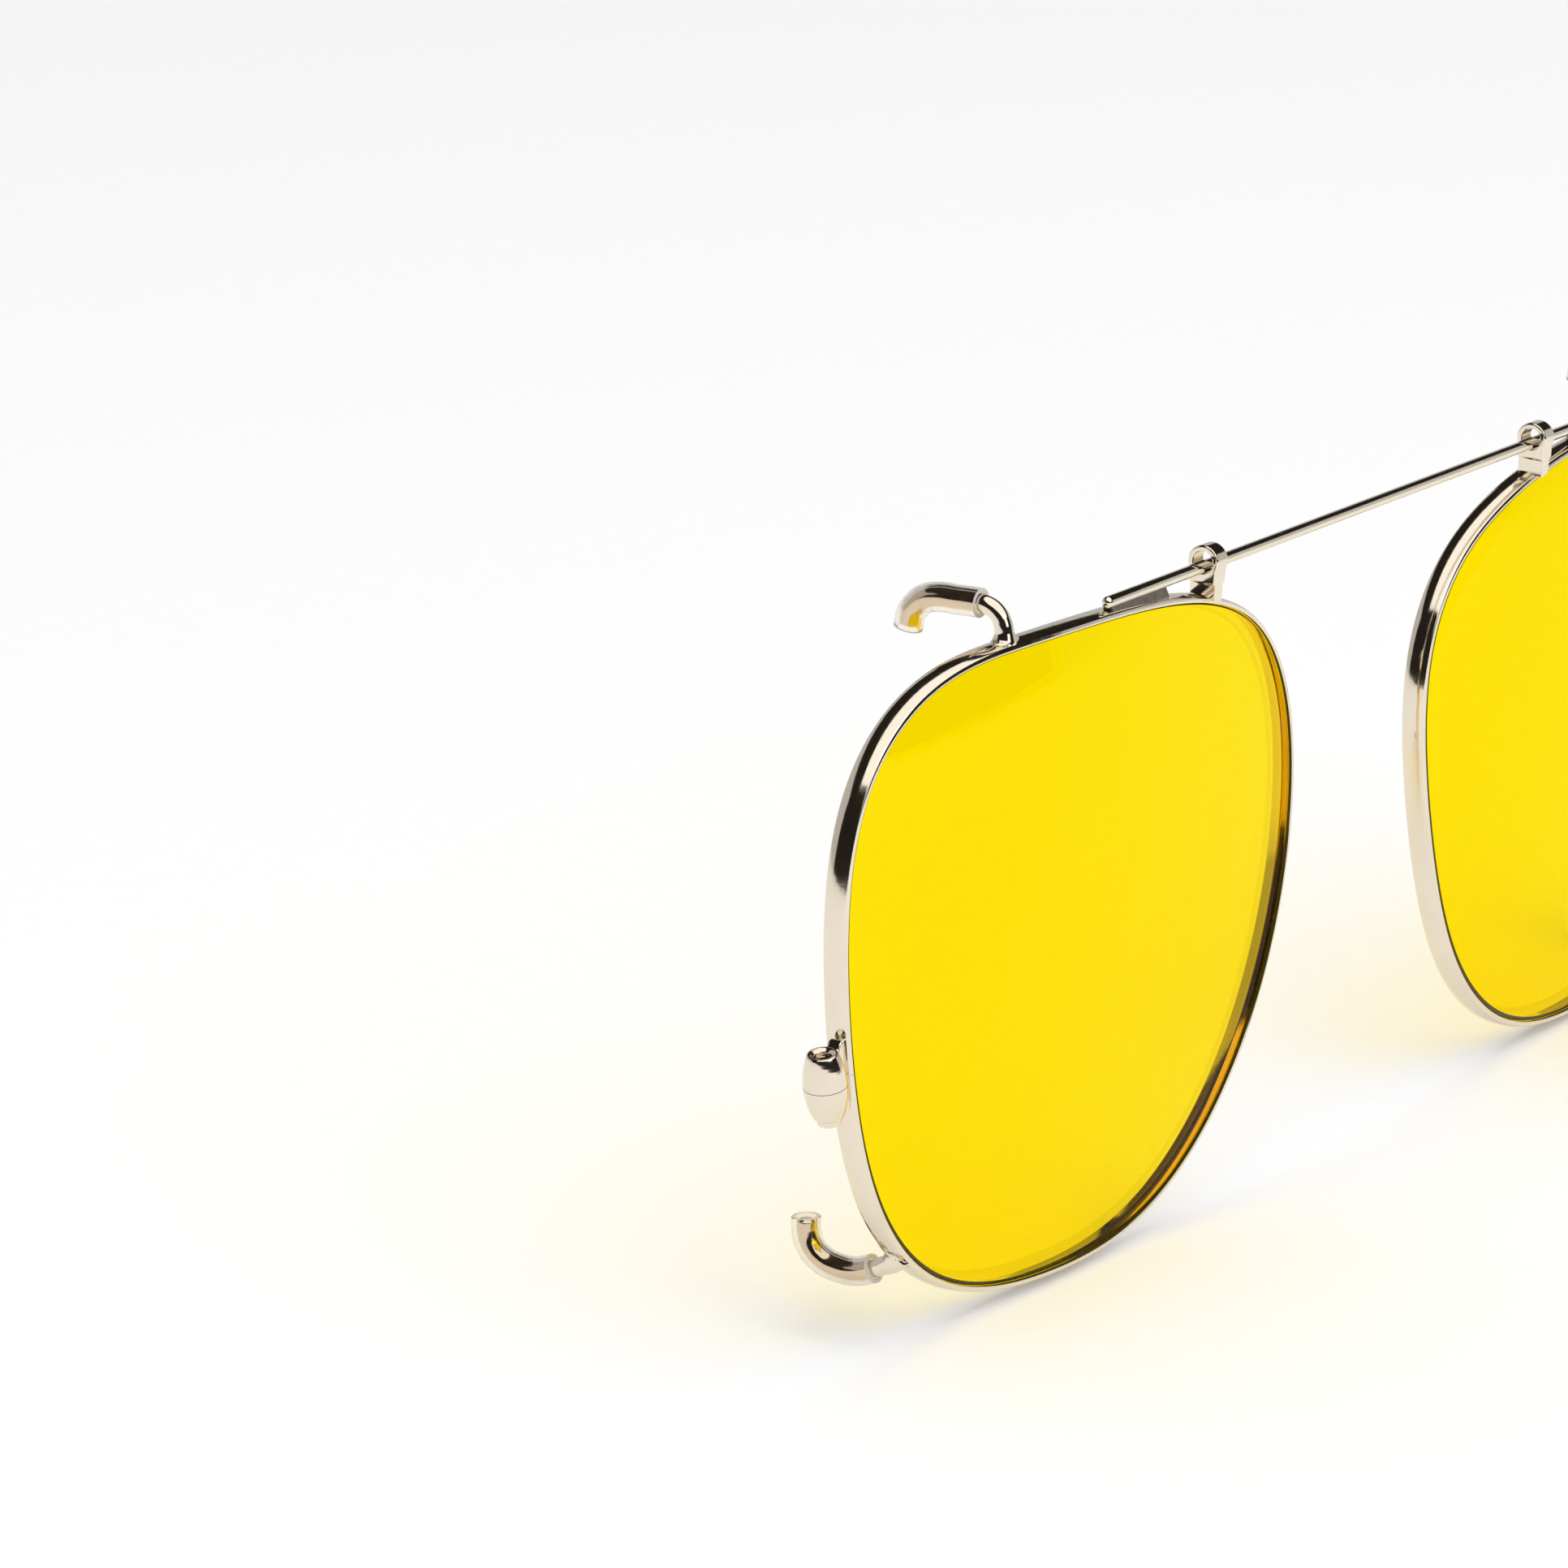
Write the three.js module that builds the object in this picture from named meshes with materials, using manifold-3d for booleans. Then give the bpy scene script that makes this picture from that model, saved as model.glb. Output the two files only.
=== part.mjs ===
// Clip-on tinted lenses for a spectacle front: two metal rims with yellow lenses, joined by one
// straight spring wire along their tops. Each rim has an upper and a lower hook in a clear sleeve
// that grip the spectacle front, a loop that guides the wire, and a closing barrel with a screw.
//
// Millimetres. +X to the right as seen from the front, -Y to the front, +Z up. The origin lies
// midway between the two lenses, level with their front vertices.

import * as THREE from 'three';
import { mergeVertices } from 'three/addons/utils/BufferGeometryUtils.js';
import Module from 'manifold-3d';

// ---------------------------------------------------------------- driving dimensions

const EYE_SIZE = 52; // boxed width of one lens
const BRIDGE = 19; // gap between the boxed lenses
const LENS_CENTRE = (EYE_SIZE + BRIDGE) / 2;
const LENS_RADIUS = 90; // front curve of the lenses
const WRAP = THREE.MathUtils.degToRad(2); // each half turned back at the temple side

// Control points of the lens outline, a closed cubic B-spline: outwards from the nose, then up.
const OUTLINE = [
  [24.7, -9.5], [27.1, 11.9], [19.0, 20.9], [8.5, 21.5], [-5.6, 21.6], [-17.3, 19.2],
  [-24.6, 14.1], [-27.3, 4.5], [-22.5, -12.5], [-11.4, -21.6], [2.3, -22.1], [15.2, -20.6],
];
const OUTLINE_STEPS = 72;

const RIM_WALL = 0.5;
const RIM_DEPTH = 1.6;
const RIM_CHAMFER = 0.1;
const GROOVE_DEPTH = 0.24;
const LENS_SETBACK = 0.2; // lens front behind the rim's front edge
const LENS_THICKNESS = 0.8;
const LENS_PLAY = 0.05;
const RIM_SLIT = 0.12; // where the closing screw draws the rim together

const SEAM = 0.05; // left open between pieces that are brazed or pressed together
const OVERLAP = 4; // how far a fitting is drawn into the rim's space, before that is cut away
const FAR = 20; // past everything, to the front and the back

const WELD_DISTANCE = 1e-4;
const TINY_TURN = 1e-4; // for the direction of the outline
const WIRE_SIDES = 16;
const BARREL_SIDES = 20;
const TUBE_SIDES = 10;
const HOOK_STEPS = 18;
const SLEEVE_STEPS = 13;

const WIRE_RADIUS = 0.4;
const WIRE_BACK = 3.25; // wire axis behind the origin
const WIRE_UP = 22.42; // wire axis above the origin
const WIRE_END = 35.4; // tip of the wire from the middle
const WIRE_FLEX = 28.1; // inner end of the brazed stretch, where the wire starts to bend
const WIRE_GAP = 0.05;

const LOOP_PLACE = 22.5; // middle of the loop from the middle of the wire
const LOOP_LENGTH = 1.43;
const LOOP_RADIUS = 1.12;
const LOOP_HOLE_RADIUS = 0.75;
const LOOP_RISE = 0.3; // centre of the hole above the wire axis
const LOOP_FOOT_WIDTH = 1.9; // front to back
const LOOP_STEP = 1.35; // from the hole's centre down to the step in the foot
const LOOP_NECK = 0.5; // half width just below the step
const LOOP_SLOPE = 0.1; // height of the slope between the step and the neck
const LOOP_TOE = 0.43; // half width at the rim

const BRAZE_WIDTH = 1.1;
const BRAZE_LENGTH = 7.0;
const BRAZE_START = 0.25; // from where the wire starts to bend
const BRAZE_TOP = -0.1; // from the wire's axis

const HOOK_RADIUS = 0.6;
const HOOK_ACROSS = 10.1; // upper hook, outwards from the lens centre
const HOOK_DOWN = -16.9; // lower hook, up from the lens centre
const UPPER_SLEEVE_START = 0.35; // share of the hook's route where its sleeve begins
const LOWER_SLEEVE_START = 0.25;
const SLEEVE_RADIUS = 0.95;
const SLEEVE_BORE = 0.65;
const SLEEVE_OVERHANG = 0.15; // sleeve past the tip of the wire

const BARREL_PLACE = -2.9; // height of the closing barrel's parting line on the outline
const BARREL_LENGTH = 4.4;
const BARREL_RADIUS = 1.42;
const BARREL_END_RADIUS = 0.97;
const BARREL_STANDOFF = 1.5; // barrel axis from the rim's outer face
const BARREL_BORE = 0.55;
const FOOT_THICKNESS = 1.0;
const FOOT_RISE = 0.25; // the foot spreads this far past the barrel's end, along the rim
const FOOT_EDGE = 0.15; // thickness of the foot's spread end at the rim
const FOOT_START = 0.75; // share of the barrel's half length that the foot meets
const BARREL_CHAMFER = 0.1;
const PARTING_GAP = 0.06;
const SCREW_RADIUS = 0.48;
const SCREW_HEAD_RADIUS = 0.78;
const SCREW_HEAD_HEIGHT = 0.5;
const SCREW_CHAMFER = 0.15;
const SCREW_TIP_DEPTH = 0.35; // tip below the barrel's top face
const SLOT_WIDTH = 0.22;
const SLOT_DEPTH = 0.28;

const nickel = new THREE.MeshStandardMaterial({ color: 0xd9d4c8, roughness: 0.15, metalness: 1 });
const yellow = new THREE.MeshStandardMaterial({
  color: 0xffdf01, roughness: 0.08, metalness: 0, transparent: true, opacity: 0.75,
});
const clear = new THREE.MeshStandardMaterial({
  color: 0xeae6dc, roughness: 0.35, metalness: 0, transparent: true, opacity: 0.45,
});

// ---------------------------------------------------------------- solids

const wasm = await Module();
wasm.setup();

// Welds a geometry's shared vertices, drops triangles that have no area, and faces it outwards.
function welded(source) {
  const bare = source.clone();
  bare.deleteAttribute('normal');
  bare.deleteAttribute('uv');
  const merged = mergeVertices(bare, WELD_DISTANCE);
  const corners = merged.index.array;
  const kept = [];
  for (let i = 0; i < corners.length; i += 3) {
    const [a, b, c] = corners.subarray(i, i + 3);
    if (a !== b && b !== c && c !== a) kept.push(a, b, c);
  }
  merged.setIndex(kept);
  if (volume(merged) < 0) merged.setIndex(kept.reverse());
  return merged;
}

function volume(geometry) {
  const place = geometry.attributes.position;
  const corners = geometry.index.array;
  const [a, b, c] = [new THREE.Vector3(), new THREE.Vector3(), new THREE.Vector3()];
  let sum = 0;
  for (let i = 0; i < corners.length; i += 3) {
    a.fromBufferAttribute(place, corners[i]);
    b.fromBufferAttribute(place, corners[i + 1]);
    c.fromBufferAttribute(place, corners[i + 2]);
    sum += a.dot(b.cross(c)) / 6;
  }
  return sum;
}

function toSolid(geometry) {
  const merged = welded(geometry);
  return new wasm.Manifold(new wasm.Mesh({
    numProp: 3,
    vertProperties: new Float32Array(merged.attributes.position.array),
    triVerts: new Uint32Array(merged.index.array),
  }));
}

function fromSolid(solid) {
  const mesh = solid.getMesh();
  const geometry = new THREE.BufferGeometry();
  geometry.setAttribute('position', new THREE.BufferAttribute(mesh.vertProperties, 3));
  geometry.setIndex(new THREE.BufferAttribute(mesh.triVerts, 1));
  return geometry;
}

function joined(...geometries) {
  return fromSolid(geometries.map(toSolid).reduce((sum, next) => sum.add(next)));
}

function cut(geometry, ...tools) {
  return fromSolid(tools.reduce((sum, tool) => sum.subtract(toSolid(tool)), toSolid(geometry)));
}

function mirrored(geometry) {
  const copy = geometry.clone().scale(-1, 1, 1);
  return welded(copy);
}

// ---------------------------------------------------------------- lens outline

// A place on the outline, and the way out of the lens there; one turn runs from 0 to 1.
function splinePoint(turn) {
  const count = OUTLINE.length;
  const at = ((turn % 1) + 1) % 1 * count;
  const first = Math.floor(at);
  const u = at - first;
  const weights = [
    (1 - u) ** 3,
    3 * u ** 3 - 6 * u ** 2 + 4,
    -3 * u ** 3 + 3 * u ** 2 + 3 * u + 1,
    u ** 3,
  ];
  const point = new THREE.Vector2();
  weights.forEach((weight, i) => {
    const [x, z] = OUTLINE[(first + i + count - 1) % count];
    point.x += weight * x / 6;
    point.y += weight * z / 6;
  });
  return point;
}

function outlineAt(turn) {
  const point = splinePoint(turn);
  const along = splinePoint(turn + TINY_TURN).sub(splinePoint(turn - TINY_TURN)).normalize();
  return { point, along, out: new THREE.Vector2(along.y, -along.x) };
}

// The turn at which the outline passes a height or a width, between two turns.
function turnWhere(axis, value, from, to) {
  let [low, high] = [from, to];
  const rising = splinePoint(high)[axis] > splinePoint(low)[axis];
  for (let i = 0; i < 40; i++) {
    const middle = (low + high) / 2;
    if ((splinePoint(middle)[axis] < value) === rising) low = middle;
    else high = middle;
  }
  return (low + high) / 2;
}

// How far the lens surface falls back from its vertex.
function sag(x, z) {
  return LENS_RADIUS - Math.sqrt(LENS_RADIUS ** 2 - x ** 2 - z ** 2);
}

// A lathe whose round path is reshaped to the lens outline and bent to the lens curve. Each
// profile point gives its share of the outline's radius, its step outwards and its step back.
function lensShaped(profile) {
  const section = profile.map(([share, out, back]) => new THREE.Vector2(share + out, back));
  const lathe = new THREE.LatheGeometry(section, OUTLINE_STEPS);
  const place = lathe.attributes.position;
  for (let i = 0; i <= OUTLINE_STEPS; i++) {
    const { point, out } = outlineAt(i / OUTLINE_STEPS);
    profile.forEach(([share, step, back], j) => {
      const x = point.x * share + out.x * step;
      const z = point.y * share + out.y * step;
      place.setXYZ(i * profile.length + j, x, back + sag(x, z), z);
    });
  }
  return welded(lathe);
}

// Everything inside the rim's outer face, grown by a clearance, far to the front and the back.
function insideRim(clearance) {
  const points = [];
  for (let i = 0; i < OUTLINE_STEPS; i++) {
    const { point, out } = outlineAt(i / OUTLINE_STEPS);
    points.push(point.addScaledVector(out, RIM_WALL + clearance));
  }
  const shape = new THREE.Shape(points);
  const block = new THREE.ExtrudeGeometry(shape, { depth: 2 * FAR, bevelEnabled: false });
  return block.rotateX(Math.PI / 2).translate(0, FAR, 0);
}

// ---------------------------------------------------------------- simple shapes

// A lathe about Z; profile points are radius and height.
function turned(profile, sides) {
  const lathe = new THREE.LatheGeometry(profile.map(([r, z]) => new THREE.Vector2(r, z)), sides);
  return lathe.rotateX(Math.PI / 2);
}

function rod(radius, from, to, sides) {
  const length = to - from;
  const cylinder = new THREE.CylinderGeometry(radius, radius, length, sides);
  return cylinder.rotateX(Math.PI / 2).translate(0, 0, from + length / 2);
}

function circle(radius, sides) {
  const points = [];
  for (let i = 0; i < sides; i++) {
    const angle = i / sides * 2 * Math.PI;
    points.push(new THREE.Vector2(radius * Math.cos(angle), radius * Math.sin(angle)));
  }
  return points;
}

function tube(path, steps, radius, bore, sides) {
  const shape = new THREE.Shape(circle(radius, sides));
  if (bore > 0) shape.holes.push(new THREE.Path(circle(bore, sides)));
  return new THREE.ExtrudeGeometry(shape, { steps, extrudePath: path, bevelEnabled: false });
}

// ---------------------------------------------------------------- rim and lens

const MIDDLE_BACK = LENS_SETBACK + LENS_THICKNESS / 2;

function makeRim(barrelFrame) {
  const [wall, deep, edge] = [RIM_WALL, RIM_DEPTH, RIM_CHAMFER];
  const ring = lensShaped([
    [1, 0, edge], [1, edge, 0], [1, wall - edge, 0], [1, wall, edge],
    [1, wall, deep - edge], [1, wall - edge, deep], [1, edge, deep], [1, 0, deep - edge],
    [1, 0, MIDDLE_BACK + GROOVE_DEPTH], [1, GROOVE_DEPTH, MIDDLE_BACK],
    [1, 0, MIDDLE_BACK - GROOVE_DEPTH], [1, 0, edge],
  ]);
  const slit = new THREE.BoxGeometry(2 * OVERLAP, 2 * OVERLAP, RIM_SLIT).applyMatrix4(barrelFrame);
  return cut(ring, slit);
}

function makeLens() {
  const front = LENS_SETBACK;
  const rear = LENS_SETBACK + LENS_THICKNESS;
  const bevel = GROOVE_DEPTH - LENS_PLAY;
  return lensShaped([
    [0, 0, front], [0.5, 0, front], [1, -LENS_PLAY, front],
    [1, -LENS_PLAY, MIDDLE_BACK - bevel], [1, bevel - LENS_PLAY, MIDDLE_BACK],
    [1, -LENS_PLAY, MIDDLE_BACK + bevel], [1, -LENS_PLAY, rear],
    [0.5, 0, rear], [0, 0, rear],
  ]);
}

// ---------------------------------------------------------------- spring wire and its fittings

// A round wire along X with a domed outer end, or with two flat ends.
function makeWire(from, to, domed) {
  const flat = [[0, from], [WIRE_RADIUS, from]];
  const shoulder = to - WIRE_RADIUS;
  const dome = [0, 30, 60, 90].map((degrees) => {
    const angle = THREE.MathUtils.degToRad(degrees);
    return [WIRE_RADIUS * Math.cos(angle), shoulder + WIRE_RADIUS * Math.sin(angle)];
  });
  const profile = domed ? [...flat, ...dome] : [...flat, [WIRE_RADIUS, to], [0, to]];
  return turned(profile, WIRE_SIDES).rotateY(Math.PI / 2).translate(0, WIRE_BACK, WIRE_UP);
}

function wireKeepOut(clearance) {
  const pin = rod(WIRE_RADIUS + clearance, LOOP_PLACE, WIRE_END + OVERLAP, WIRE_SIDES);
  return pin.rotateY(Math.PI / 2).translate(0, WIRE_BACK, WIRE_UP);
}

// A guide ring around the wire on a stepped, tapered foot that stands on the rim.
function makeLoop() {
  const half = LOOP_LENGTH / 2;
  const below = -LOOP_STEP - LOOP_SLOPE;
  const foot = new THREE.Shape([
    [-half, 0], [-half, -LOOP_STEP], [-LOOP_NECK, below], [-LOOP_TOE, -OVERLAP],
    [LOOP_TOE, -OVERLAP], [LOOP_NECK, below], [half, -LOOP_STEP], [half, 0],
  ].map(([x, z]) => new THREE.Vector2(x, z)));
  const block = new THREE.ExtrudeGeometry(foot, { depth: LOOP_FOOT_WIDTH, bevelEnabled: false });
  block.rotateX(Math.PI / 2).translate(0, LOOP_FOOT_WIDTH / 2, 0);
  const ring = rod(LOOP_RADIUS, -half, half, BARREL_SIDES).rotateY(Math.PI / 2);
  const hole = rod(LOOP_HOLE_RADIUS, -LOOP_LENGTH, LOOP_LENGTH, BARREL_SIDES).rotateY(Math.PI / 2);
  return cut(joined(ring, block), hole).translate(LOOP_PLACE, WIRE_BACK, WIRE_UP + LOOP_RISE);
}

// The silver solder that fills the corner between the wire's end and the rim.
function makeBraze() {
  const side = new THREE.Shape([
    [BRAZE_START, -OVERLAP], [BRAZE_LENGTH, -OVERLAP],
    [BRAZE_LENGTH, BRAZE_TOP], [BRAZE_START, BRAZE_TOP],
  ].map(([x, z]) => new THREE.Vector2(WIRE_FLEX + x, z)));
  const block = new THREE.ExtrudeGeometry(side, { depth: BRAZE_WIDTH, bevelEnabled: false });
  return block.rotateX(Math.PI / 2).translate(0, WIRE_BACK + BRAZE_WIDTH / 2, WIRE_UP);
}

// ---------------------------------------------------------------- hooks

// A hook's route from its root: steps back and up.
const UPPER_ROUTE = [
  [0, -0.6], [0.05, 0.5], [0.25, 1.15], [0.7, 1.7], [1.4, 2.0], [2.3, 2.02], [3.7, 1.92],
  [5.1, 1.8], [6.0, 1.52], [6.6, 1.05], [7.05, 0.4], [7.25, -0.6],
];
const LOWER_ROUTE = [
  [-0.35, 0.5], [0.1, -0.02], [0.8, -0.45], [1.8, -0.95], [3.0, -1.4], [4.4, -1.5], [5.6, -1.25],
  [6.5, -0.6], [6.9, 0.3], [7.0, 1.3],
];

// The root on the rim's outer face, at a turn of the outline, half-way through the rim's depth.
function hookRoot(turn) {
  const { point, out } = outlineAt(turn);
  const foot = point.clone().addScaledVector(out, RIM_WALL);
  return new THREE.Vector3(foot.x, sag(foot.x, foot.y) + RIM_DEPTH / 2, foot.y);
}

function hookCurve(route, root) {
  const points = route.map(([back, up]) => new THREE.Vector3(root.x, root.y + back, root.z + up));
  return new THREE.CatmullRomCurve3(points, false, 'centripetal');
}

// The part of a curve between two shares of its length.
class PartOfCurve extends THREE.Curve {
  constructor(whole, from, to) {
    super();
    this.whole = whole;
    this.from = from;
    this.to = to;
  }

  getPoint(share, target = new THREE.Vector3()) {
    return target.copy(this.whole.getPointAt(this.from + (this.to - this.from) * share));
  }
}

function makeHook(curve) {
  const wire = new PartOfCurve(curve, 0, 1 - SLEEVE_OVERHANG / curve.getLength());
  return cut(tube(wire, HOOK_STEPS, HOOK_RADIUS, 0, TUBE_SIDES), insideRim(SEAM));
}

function makeSleeve(curve, start) {
  const covered = new PartOfCurve(curve, start, 1);
  return tube(covered, SLEEVE_STEPS, SLEEVE_RADIUS, SLEEVE_BORE, TUBE_SIDES);
}

// ---------------------------------------------------------------- closing barrel

// The barrel's own axes: Z along the rim, X away from it, at the parting line.
function closingFrame() {
  const turn = turnWhere('y', BARREL_PLACE, -0.05, 0.08);
  const { point, along, out } = outlineAt(turn);
  const axis = point.clone().addScaledVector(out, RIM_WALL + BARREL_STANDOFF);
  const fall = (x, z) => sag(x, z) - sag(point.x, point.y);
  const rise = fall(point.x + along.x, point.y + along.y);
  const up = new THREE.Vector3(along.x, rise, along.y).normalize();
  const away = new THREE.Vector3(out.x, 0, out.y);
  const back = new THREE.Vector3().crossVectors(up, away).normalize();
  away.crossVectors(back, up);
  const frame = new THREE.Matrix4().makeBasis(away, back, up);
  return frame.setPosition(axis.x, sag(point.x, point.y) + RIM_DEPTH / 2, axis.y);
}

function barrelRadius(height) {
  const share = height / (BARREL_LENGTH / 2);
  return BARREL_RADIUS - (BARREL_RADIUS - BARREL_END_RADIUS) * share ** 2;
}

// Half of the barrel with its foot on the rim; side is 1 for the upper half and -1 for the lower.
function makeClosingBlock(side, frame) {
  const top = BARREL_LENGTH / 2;
  const profile = [[0, PARTING_GAP / 2]];
  for (const share of [0, 0.25, 0.5, 0.75, 0.96]) {
    const height = Math.max(share * top, PARTING_GAP / 2);
    profile.push([barrelRadius(height), height]);
  }
  profile.push([BARREL_END_RADIUS - BARREL_CHAMFER, top], [0, top]);
  const body = turned(profile.map(([r, z]) => [r, z * side]), BARREL_SIDES);
  const inner = -BARREL_STANDOFF - RIM_WALL;
  const foot = new THREE.Shape([
    [0, PARTING_GAP / 2], [inner, PARTING_GAP / 2], [inner, top + FOOT_RISE],
    [-BARREL_STANDOFF + FOOT_EDGE, top + FOOT_RISE - BARREL_CHAMFER], [0, FOOT_START * top],
  ].map(([x, z]) => new THREE.Vector2(x, z * side)));
  const web = new THREE.ExtrudeGeometry(foot, { depth: FOOT_THICKNESS, bevelEnabled: false });
  web.rotateX(Math.PI / 2).translate(0, FOOT_THICKNESS / 2, 0);
  const bore = rod(BARREL_BORE, -BARREL_LENGTH, BARREL_LENGTH, WIRE_SIDES);
  return cut(cut(joined(body, web), bore).applyMatrix4(frame), insideRim(SEAM));
}

function makeScrew(frame) {
  const bottom = -BARREL_LENGTH / 2;
  const head = bottom - SEAM;
  const face = head - SCREW_HEAD_HEIGHT;
  const tip = BARREL_LENGTH / 2 - SCREW_TIP_DEPTH;
  const screw = turned([
    [0, face], [SCREW_HEAD_RADIUS - SCREW_CHAMFER, face],
    [SCREW_HEAD_RADIUS, face + SCREW_CHAMFER], [SCREW_HEAD_RADIUS, head],
    [SCREW_RADIUS, head], [SCREW_RADIUS, tip - SCREW_CHAMFER],
    [SCREW_RADIUS - SCREW_CHAMFER, tip], [0, tip],
  ], WIRE_SIDES);
  const slot = new THREE.BoxGeometry(4 * SCREW_HEAD_RADIUS, SLOT_WIDTH, SLOT_DEPTH * 2);
  slot.translate(0, 0, face);
  return cut(screw, slot).applyMatrix4(frame);
}

// ---------------------------------------------------------------- one half

const HALF_PLACE = new THREE.Matrix4().makeRotationZ(WRAP).setPosition(LENS_CENTRE, 0, 0);

// The solids of the half on the +X side, in that half's own axes, with their materials.
function makeHalf() {
  const toHalf = HALF_PLACE.clone().invert();
  const frame = closingFrame();
  const upperTurn = turnWhere('x', HOOK_ACROSS, 0.09, 0.25);
  const lowerTurn = turnWhere('y', HOOK_DOWN, -0.16, 0);
  const upper = hookCurve(UPPER_ROUTE, hookRoot(upperTurn));
  const lower = hookCurve(LOWER_ROUTE, hookRoot(lowerTurn));
  const braze = cut(makeBraze(), wireKeepOut(WIRE_GAP)).applyMatrix4(toHalf);
  return {
    rim: [makeRim(frame), nickel],
    lens: [makeLens(), yellow],
    loop: [cut(makeLoop().applyMatrix4(toHalf), insideRim(SEAM)), nickel],
    wire_braze: [cut(braze, insideRim(SEAM)), nickel],
    closing_block_upper: [makeClosingBlock(1, frame), nickel],
    closing_block_lower: [makeClosingBlock(-1, frame), nickel],
    closing_screw: [makeScrew(frame), nickel],
    upper_hook: [makeHook(upper), nickel],
    lower_hook: [makeHook(lower), nickel],
    upper_sleeve: [makeSleeve(upper, UPPER_SLEEVE_START), clear],
    lower_sleeve: [makeSleeve(lower, LOWER_SLEEVE_START), clear],
  };
}

function named(name, geometry, material) {
  const mesh = new THREE.Mesh(geometry, material);
  mesh.name = name;
  return mesh;
}

const clipOn = new THREE.Group();
clipOn.add(named('bridge_wire', makeWire(-WIRE_FLEX, WIRE_FLEX, false), nickel));

const half = makeHalf();
const wireEnd = makeWire(WIRE_FLEX + 2 * WIRE_GAP, WIRE_END, true);
for (const [prefix, side] of [['right', 1], ['left', -1]]) {
  const sided = (geometry) => (side > 0 ? welded(geometry) : mirrored(geometry));
  clipOn.add(named(`${prefix}_wire_end`, sided(wireEnd), nickel));
  const group = new THREE.Group();
  group.position.x = side * LENS_CENTRE;
  group.rotation.z = side * WRAP;
  for (const [name, [geometry, material]] of Object.entries(half)) {
    group.add(named(`${prefix}_${name}`, sided(geometry), material));
  }
  clipOn.add(group);
}

export default clipOn;
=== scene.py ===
"""The looks of a clip-on lens pair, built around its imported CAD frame.

Pieces are modelled in millimetres in the axes of the right half, and brought to metres and to their
places when they are finished. The left half is the mirror image of the right one.
"""

import functools
import math

import bmesh
import bpy
from bpy.props import FloatProperty, FloatVectorProperty, PointerProperty
from mathutils import Matrix, Vector


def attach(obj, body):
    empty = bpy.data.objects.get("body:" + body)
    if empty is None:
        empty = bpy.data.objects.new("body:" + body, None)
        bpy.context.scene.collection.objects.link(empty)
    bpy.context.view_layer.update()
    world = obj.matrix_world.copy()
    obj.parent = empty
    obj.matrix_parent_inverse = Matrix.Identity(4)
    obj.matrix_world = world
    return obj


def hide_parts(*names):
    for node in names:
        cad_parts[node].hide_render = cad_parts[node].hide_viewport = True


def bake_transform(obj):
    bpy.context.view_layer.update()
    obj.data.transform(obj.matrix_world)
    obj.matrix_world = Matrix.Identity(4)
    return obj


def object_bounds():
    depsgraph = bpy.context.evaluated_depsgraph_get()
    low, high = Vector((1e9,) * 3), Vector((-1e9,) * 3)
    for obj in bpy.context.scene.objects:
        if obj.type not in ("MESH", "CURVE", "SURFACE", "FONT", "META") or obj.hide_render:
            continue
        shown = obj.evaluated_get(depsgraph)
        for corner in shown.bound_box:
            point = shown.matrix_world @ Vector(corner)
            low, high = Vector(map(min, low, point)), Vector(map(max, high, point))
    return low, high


bl_info = {
    "name": "Clip-on lens pair",
    "version": (1, 0, 0),
    "blender": (4, 5, 0),
    "location": "View3D > Sidebar > Clip-on",
    "description": "Builds the looks of a clip-on lens pair around its CAD frame",
    "category": "Object",
}

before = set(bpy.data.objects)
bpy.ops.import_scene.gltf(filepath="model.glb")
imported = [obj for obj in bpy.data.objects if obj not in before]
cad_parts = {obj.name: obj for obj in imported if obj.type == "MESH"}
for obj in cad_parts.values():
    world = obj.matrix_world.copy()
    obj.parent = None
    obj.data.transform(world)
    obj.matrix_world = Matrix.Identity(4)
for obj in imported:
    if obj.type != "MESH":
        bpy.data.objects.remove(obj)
CAD_BOX = [list(corner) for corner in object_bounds()]

# ------------------------------------------------------------------ sizes shared with the frame
# Millimetres and degrees, as in the part's source.

MM = 0.001
SIDES = {"right": 1, "left": -1}
LENS_CENTRE = 35.5
LENS_RADIUS = 90.0
WRAP = math.radians(2)

# Control points of the lens outline, a closed cubic B-spline: outwards from the nose, then up.
OUTLINE = (
    (24.7, -9.5), (27.1, 11.9), (19.0, 20.9), (8.5, 21.5), (-5.6, 21.6), (-17.3, 19.2),
    (-24.6, 14.1), (-27.3, 4.5), (-22.5, -12.5), (-11.4, -21.6), (2.3, -22.1), (15.2, -20.6),
)

GROOVE_DEPTH = 0.24
RIM_FLARE = 0.12  # how far the rim's inner wall opens towards the back
LENS_SETBACK = 0.2
LENS_PLAY = 0.05
# The ground edge carries the painted groove shade, so these widths also set where that painted shade
# lies: widest at the bottom.
EDGE_WIDTH_MEAN = 0.6  # share of the ground edge's width at mid height
EDGE_WIDTH_SWING = 0.4  # of that share, less at the top and more at the bottom
LENS_EDGE_FALL = 0.12  # of the lens's ground edge, from the front face to the groove
RIM_SLIT = 0.12

WIRE_BACK = 3.25
WIRE_UP = 22.42
WIRE_END = 35.4
WIRE_FLEX = 28.1  # where the free wire ends and its brazed stretch begins
WIRE_PLAY = 0.05  # between the bend and the solder
BEND_LENGTH = 1.6  # of the wire just inside that place, over which it bends

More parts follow.
